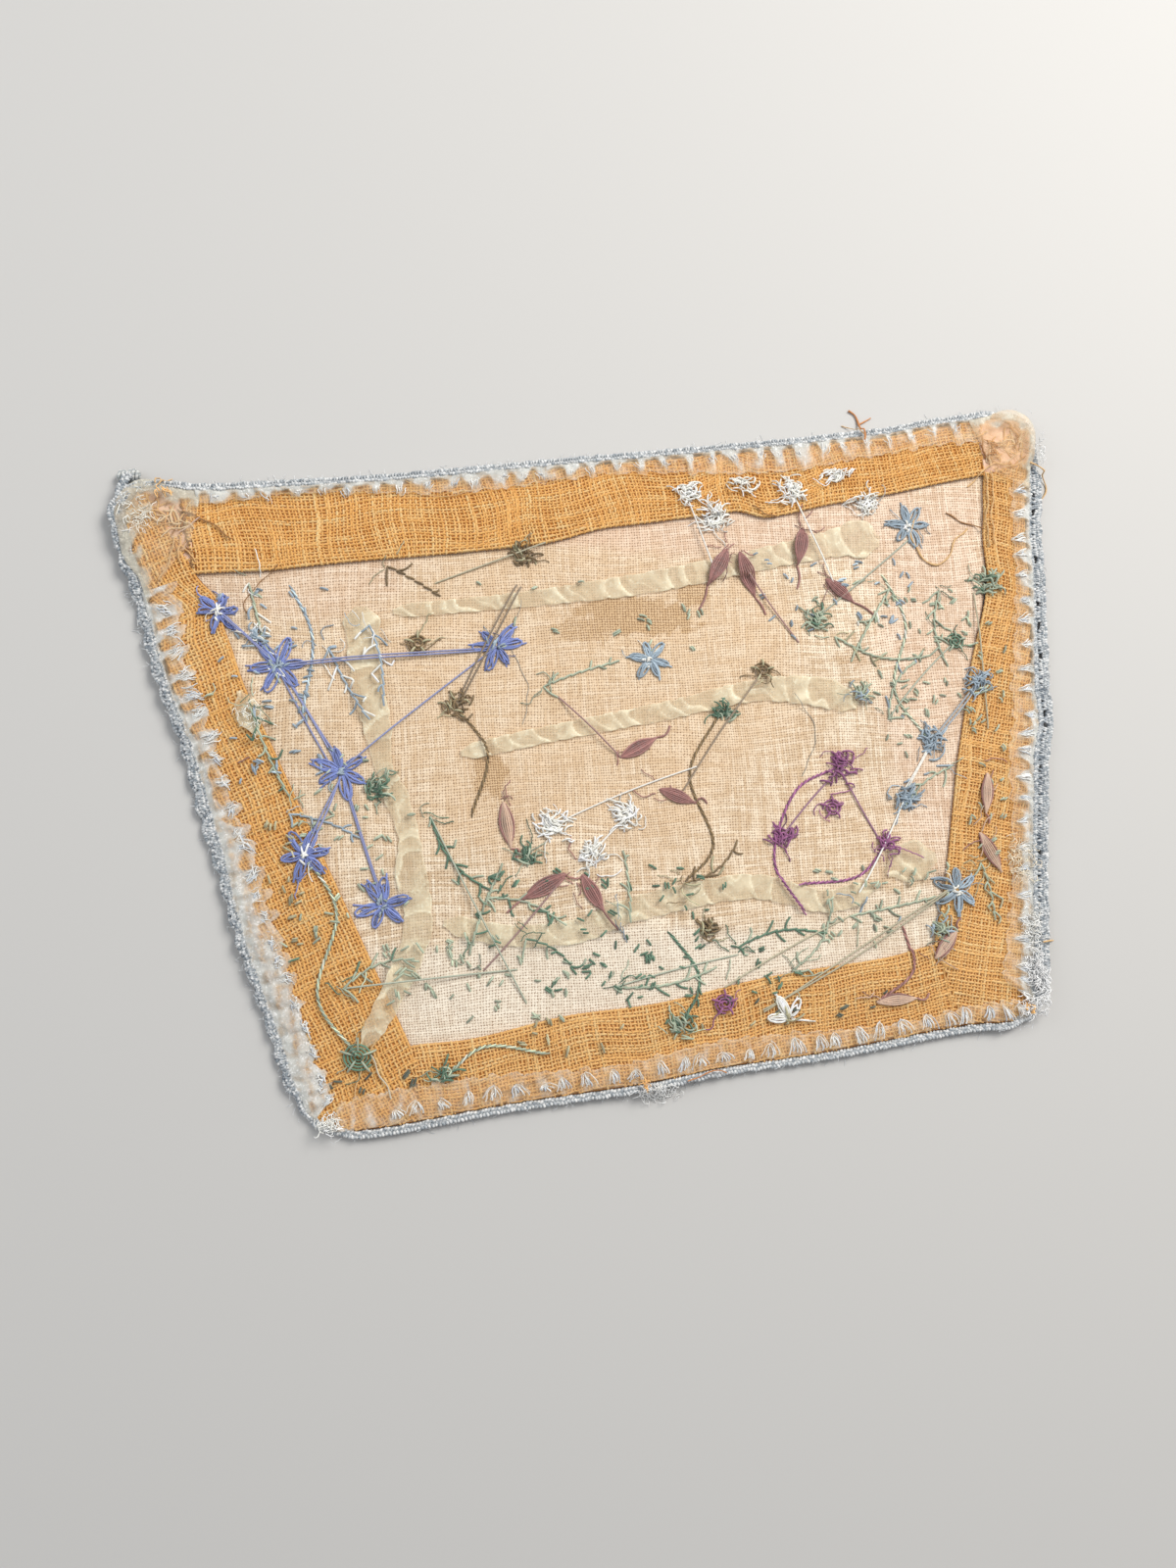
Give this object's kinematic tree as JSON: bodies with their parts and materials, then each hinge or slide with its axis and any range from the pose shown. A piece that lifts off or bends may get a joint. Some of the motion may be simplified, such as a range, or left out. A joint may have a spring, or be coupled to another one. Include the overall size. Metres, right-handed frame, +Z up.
{
  "type": "embroidered panel",
  "caption": "Four-sided linen panel with ochre open-weave borders, sheer organza binding and ribbons, and a crocheted yarn edging.",
  "frame": {"origin": "Centre of the panel's bounding box in X and Y, on the surface it lies on.", "axes": "+X to the panel's right and +Y to its top as the shown side is looked at, +Z up out of the shown side."},
  "size_m": [0.2493, 0.1968, 0.0061],
  "materials": {
    "linen": "unbleached plain-weave linen, matt",
    "ochre_weave": "open-weave jute or linen scrim dyed ochre, matt",
    "organza": "sheer crumpled organza, soft sheen",
    "ribbon": "cream organza ribbon, soft sheen",
    "yarn": "marled pale blue and white yarn, matt",
    "stitches": "stranded embroidery thread, satin"
  },
  "bodies": {
    "root": {"linen_ground": "linen", "crochet_edging": "yarn", "border_left": "ochre_weave", "binding_left": "organza", "border_bottom": "ochre_weave", "binding_bottom": "organza", "border_right": "ochre_weave", "binding_right": "organza", "border_top": "ochre_weave", "binding_top": "organza", "corner_scrap_top_left": "organza", "corner_scrap_top_right": "organza", "ribbon_left": "ribbon", "ribbon_top": "ribbon", "ribbon_middle": "ribbon", "ribbon_bottom": "ribbon", "ribbon_scrap_right": "ribbon", "ribbon_scrap_left": "ribbon"}
  },
  "joints": []
}
